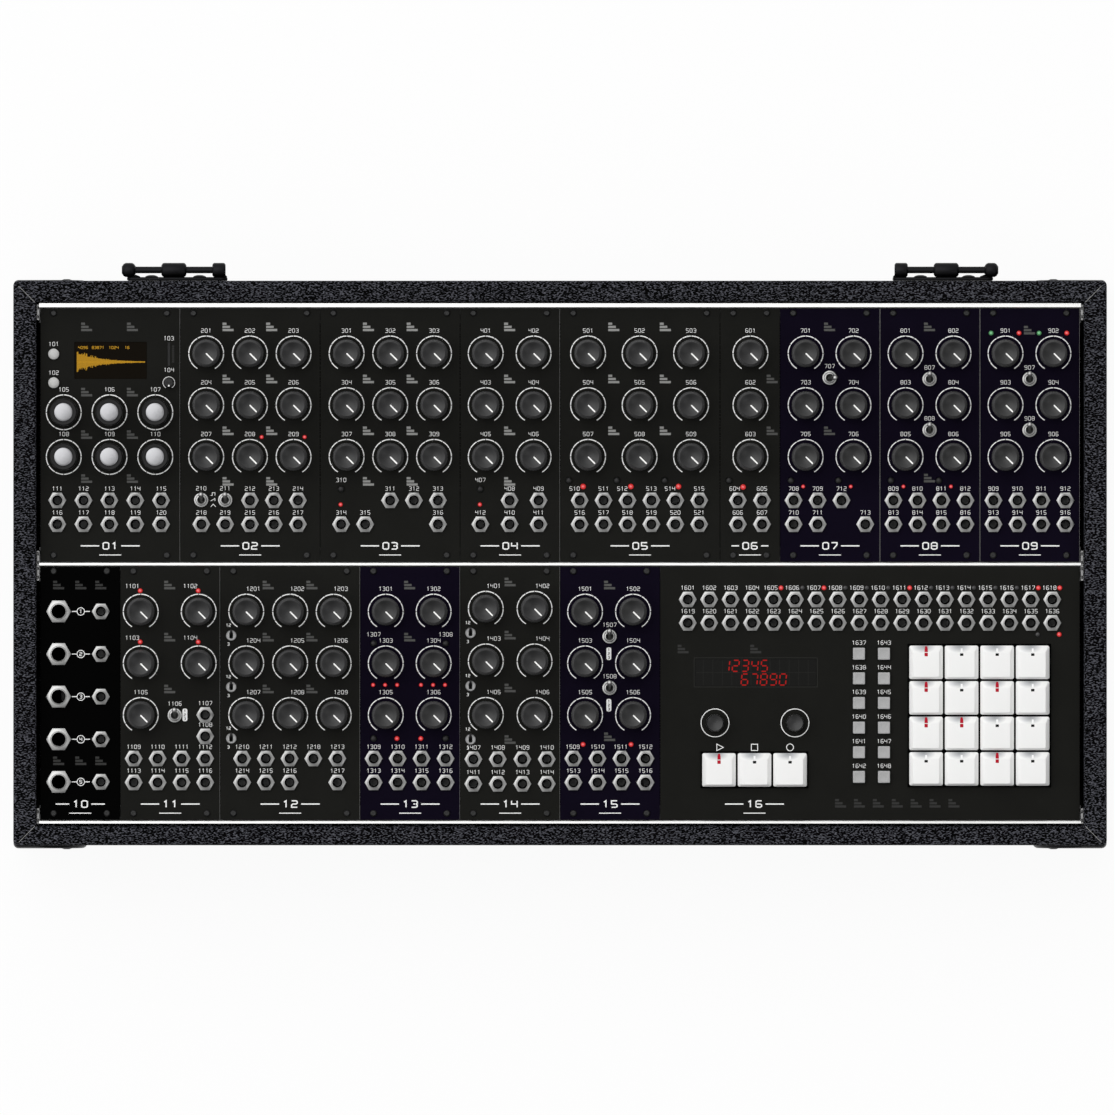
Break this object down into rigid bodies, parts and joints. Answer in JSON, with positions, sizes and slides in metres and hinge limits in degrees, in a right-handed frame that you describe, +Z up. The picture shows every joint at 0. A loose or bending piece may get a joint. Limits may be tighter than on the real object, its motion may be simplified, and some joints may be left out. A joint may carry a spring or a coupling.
{
  "type": "modular synthesizer",
  "caption": "Portable modular synthesizer: rows of black panels with knobs, patch sockets, switches and a key pad in a covered wooden tray on rubber feet, with lift-off lid hinges.",
  "frame": {"origin": "middle of the whole object's underside, on the surface that the feet stand on", "axes": "+X to the player's right along the rows, +Y away from the player towards the hinges, +Z up"},
  "size_m": [0.5574, 0.2986, 0.0991],
  "materials": {
    "case_covering": "plywood covered in black pebbled vinyl",
    "rail_aluminium": "satin",
    "black_steel": "black, semi-gloss",
    "rubber": "matt",
    "black_plastic": "satin",
    "circuit_board": "green solder mask",
    "panel_warm": "black, satin",
    "panel_cool": "blue-black, satin",
    "panel_black": "pure black, satin",
    "knob_plastic": "dark grey, matt",
    "nickel": "satin nickel plate",
    "key_plastic": "white, satin",
    "grey_plastic": "light grey, matt"
  },
  "bodies": {
    "case": {"case_shell": "case_covering", "power_inlet": "black_plastic", "bus_board": "circuit_board", "rear_rail": "rail_aluminium", "centre_rail": "rail_aluminium", "front_rail": "rail_aluminium", "hinge_leaf_left": "black_steel", "hinge_leaf_right": "black_steel", "hinge_pin_left": "black_steel", "hinge_pin_right": "black_steel", "foot_front_left": "rubber", "foot_front_right": "rubber", "foot_rear_left": "rubber", "foot_rear_right": "rubber", "sampler_module": "panel_warm", "bass_voice_module": "panel_warm", "bass_drum_module": "panel_warm", "snare_module": "panel_warm", "toms_module": "panel_warm", "clap_module": "panel_warm", "hats_module": "panel_cool", "cymbals_module": "panel_cool", "modulator_module": "panel_cool", "link_module": "panel_black", "stereo_mixer_module": "panel_warm", "mixer_module": "panel_warm", "dual_effects_module": "panel_cool", "small_mixer_module": "panel_warm", "dual_drive_module": "panel_cool", "sequencer_module": "panel_warm"},
    "clap_knob_upper": {"clap_knob_upper": "knob_plastic"},
    "clap_knob_middle": {"clap_knob_middle": "knob_plastic"},
    "clap_knob_lower": {"clap_knob_lower": "knob_plastic"},
    "sampler_encoder_upper_left": {"sampler_encoder_upper_left": "knob_plastic"},
    "sequencer_encoder_left": {"sequencer_encoder_left": "knob_plastic"},
    "sequencer_encoder_right": {"sequencer_encoder_right": "knob_plastic"},
    "hats_toggle_lever": {"hats_toggle_lever": "nickel"},
    "mixer_toggle_lever": {"mixer_toggle_lever": "black_plastic"},
    "step_key_1": {"step_key_1": "key_plastic"},
    "step_key_2": {"step_key_2": "key_plastic"},
    "step_key_3": {"step_key_3": "key_plastic"},
    "step_key_4": {"step_key_4": "key_plastic"},
    "step_key_5": {"step_key_5": "key_plastic"},
    "step_key_6": {"step_key_6": "key_plastic"},
    "step_key_7": {"step_key_7": "key_plastic"},
    "step_key_8": {"step_key_8": "key_plastic"},
    "step_key_9": {"step_key_9": "key_plastic"},
    "step_key_10": {"step_key_10": "key_plastic"},
    "step_key_11": {"step_key_11": "key_plastic"},
    "step_key_12": {"step_key_12": "key_plastic"},
    "step_key_13": {"step_key_13": "key_plastic"},
    "step_key_14": {"step_key_14": "key_plastic"},
    "step_key_15": {"step_key_15": "key_plastic"},
    "step_key_16": {"step_key_16": "key_plastic"},
    "play_key": {"play_key": "key_plastic"},
    "stop_key": {"stop_key": "key_plastic"},
    "record_key": {"record_key": "key_plastic"},
    "clap_trigger_button": {"clap_trigger_button": "black_plastic"},
    "sampler_button_upper": {"sampler_button_upper": "key_plastic"},
    "sequencer_button_upper_left": {"sequencer_button_upper_left": "grey_plastic"}
  },
  "joints": [
    {"name": "clap_knob_upper_turn", "type": "hinge", "parent": "case", "child": "clap_knob_upper", "pos_m": [0.09673, 0.10326, 0.0843], "axis": [0, 0, 1], "range_deg": [-15, 285]},
    {"name": "clap_knob_middle_turn", "type": "hinge", "parent": "case", "child": "clap_knob_middle", "pos_m": [0.09673, 0.07696, 0.0843], "axis": [0, 0, 1], "range_deg": [-15, 285]},
    {"name": "clap_knob_lower_turn", "type": "hinge", "parent": "case", "child": "clap_knob_lower", "pos_m": [0.09673, 0.0507, 0.0843], "axis": [0, 0, 1], "range_deg": [-15, 285]},
    {"name": "sampler_encoder_upper_left_turn", "type": "hinge", "parent": "case", "child": "sampler_encoder_upper_left", "pos_m": [-0.25221, 0.07334, 0.0843], "axis": [0, 0, 1], "continuous": true},
    {"name": "sequencer_encoder_left_turn", "type": "hinge", "parent": "case", "child": "sequencer_encoder_left", "pos_m": [0.07875, -0.08448, 0.0843], "axis": [0, 0, 1], "continuous": true},
    {"name": "sequencer_encoder_right_turn", "type": "hinge", "parent": "case", "child": "sequencer_encoder_right", "pos_m": [0.11937, -0.08448, 0.0843], "axis": [0, 0, 1], "continuous": true},
    {"name": "hats_toggle_lever_turn", "type": "hinge", "parent": "case", "child": "hats_toggle_lever", "pos_m": [0.13696, 0.09089, 0.0853], "axis": [0, -1, 0], "range_deg": [0, 30]},
    {"name": "mixer_toggle_lever_turn", "type": "hinge", "parent": "case", "child": "mixer_toggle_lever", "pos_m": [-0.16713, -0.04004, 0.0833], "axis": [1, 0, 0], "range_deg": [0, 36]},
    {"name": "step_key_1_press", "type": "slide", "parent": "case", "child": "step_key_1", "axis": [0, 0, -1], "range_m": [0, 0.0025], "stiffness_N_per_m": 200, "springref_m": -0.002},
    {"name": "step_key_2_press", "type": "slide", "parent": "case", "child": "step_key_2", "axis": [0, 0, -1], "range_m": [0, 0.0025], "stiffness_N_per_m": 200, "springref_m": -0.002},
    {"name": "step_key_3_press", "type": "slide", "parent": "case", "child": "step_key_3", "axis": [0, 0, -1], "range_m": [0, 0.0025], "stiffness_N_per_m": 200, "springref_m": -0.002},
    {"name": "step_key_4_press", "type": "slide", "parent": "case", "child": "step_key_4", "axis": [0, 0, -1], "range_m": [0, 0.0025], "stiffness_N_per_m": 200, "springref_m": -0.002},
    {"name": "step_key_5_press", "type": "slide", "parent": "case", "child": "step_key_5", "axis": [0, 0, -1], "range_m": [0, 0.0025], "stiffness_N_per_m": 200, "springref_m": -0.002},
    {"name": "step_key_6_press", "type": "slide", "parent": "case", "child": "step_key_6", "axis": [0, 0, -1], "range_m": [0, 0.0025], "stiffness_N_per_m": 200, "springref_m": -0.002},
    {"name": "step_key_7_press", "type": "slide", "parent": "case", "child": "step_key_7", "axis": [0, 0, -1], "range_m": [0, 0.0025], "stiffness_N_per_m": 200, "springref_m": -0.002},
    {"name": "step_key_8_press", "type": "slide", "parent": "case", "child": "step_key_8", "axis": [0, 0, -1], "range_m": [0, 0.0025], "stiffness_N_per_m": 200, "springref_m": -0.002},
    {"name": "step_key_9_press", "type": "slide", "parent": "case", "child": "step_key_9", "axis": [0, 0, -1], "range_m": [0, 0.0025], "stiffness_N_per_m": 200, "springref_m": -0.002},
    {"name": "step_key_10_press", "type": "slide", "parent": "case", "child": "step_key_10", "axis": [0, 0, -1], "range_m": [0, 0.0025], "stiffness_N_per_m": 200, "springref_m": -0.002},
    {"name": "step_key_11_press", "type": "slide", "parent": "case", "child": "step_key_11", "axis": [0, 0, -1], "range_m": [0, 0.0025], "stiffness_N_per_m": 200, "springref_m": -0.002},
    {"name": "step_key_12_press", "type": "slide", "parent": "case", "child": "step_key_12", "axis": [0, 0, -1], "range_m": [0, 0.0025], "stiffness_N_per_m": 200, "springref_m": -0.002},
    {"name": "step_key_13_press", "type": "slide", "parent": "case", "child": "step_key_13", "axis": [0, 0, -1], "range_m": [0, 0.0025], "stiffness_N_per_m": 200, "springref_m": -0.002},
    {"name": "step_key_14_press", "type": "slide", "parent": "case", "child": "step_key_14", "axis": [0, 0, -1], "range_m": [0, 0.0025], "stiffness_N_per_m": 200, "springref_m": -0.002},
    {"name": "step_key_15_press", "type": "slide", "parent": "case", "child": "step_key_15", "axis": [0, 0, -1], "range_m": [0, 0.0025], "stiffness_N_per_m": 200, "springref_m": -0.002},
    {"name": "step_key_16_press", "type": "slide", "parent": "case", "child": "step_key_16", "axis": [0, 0, -1], "range_m": [0, 0.0025], "stiffness_N_per_m": 200, "springref_m": -0.002},
    {"name": "play_key_press", "type": "slide", "parent": "case", "child": "play_key", "axis": [0, 0, -1], "range_m": [0, 0.0025], "stiffness_N_per_m": 200, "springref_m": -0.002},
    {"name": "stop_key_press", "type": "slide", "parent": "case", "child": "stop_key", "axis": [0, 0, -1], "range_m": [0, 0.0025], "stiffness_N_per_m": 200, "springref_m": -0.002},
    {"name": "record_key_press", "type": "slide", "parent": "case", "child": "record_key", "axis": [0, 0, -1], "range_m": [0, 0.0025], "stiffness_N_per_m": 200, "springref_m": -0.002},
    {"name": "clap_trigger_button_press", "type": "slide", "parent": "case", "child": "clap_trigger_button", "axis": [0, 0, -1], "range_m": [0, 0.0005], "stiffness_N_per_m": 1000, "springref_m": -0.0005},
    {"name": "sampler_button_upper_press", "type": "slide", "parent": "case", "child": "sampler_button_upper", "axis": [0, 0, -1], "range_m": [0, 0.0005], "stiffness_N_per_m": 1000, "springref_m": -0.0005},
    {"name": "sequencer_button_upper_left_press", "type": "slide", "parent": "case", "child": "sequencer_button_upper_left", "axis": [0, 0, -1], "range_m": [0, 0.0005], "stiffness_N_per_m": 1000, "springref_m": -0.0005}
  ]
}
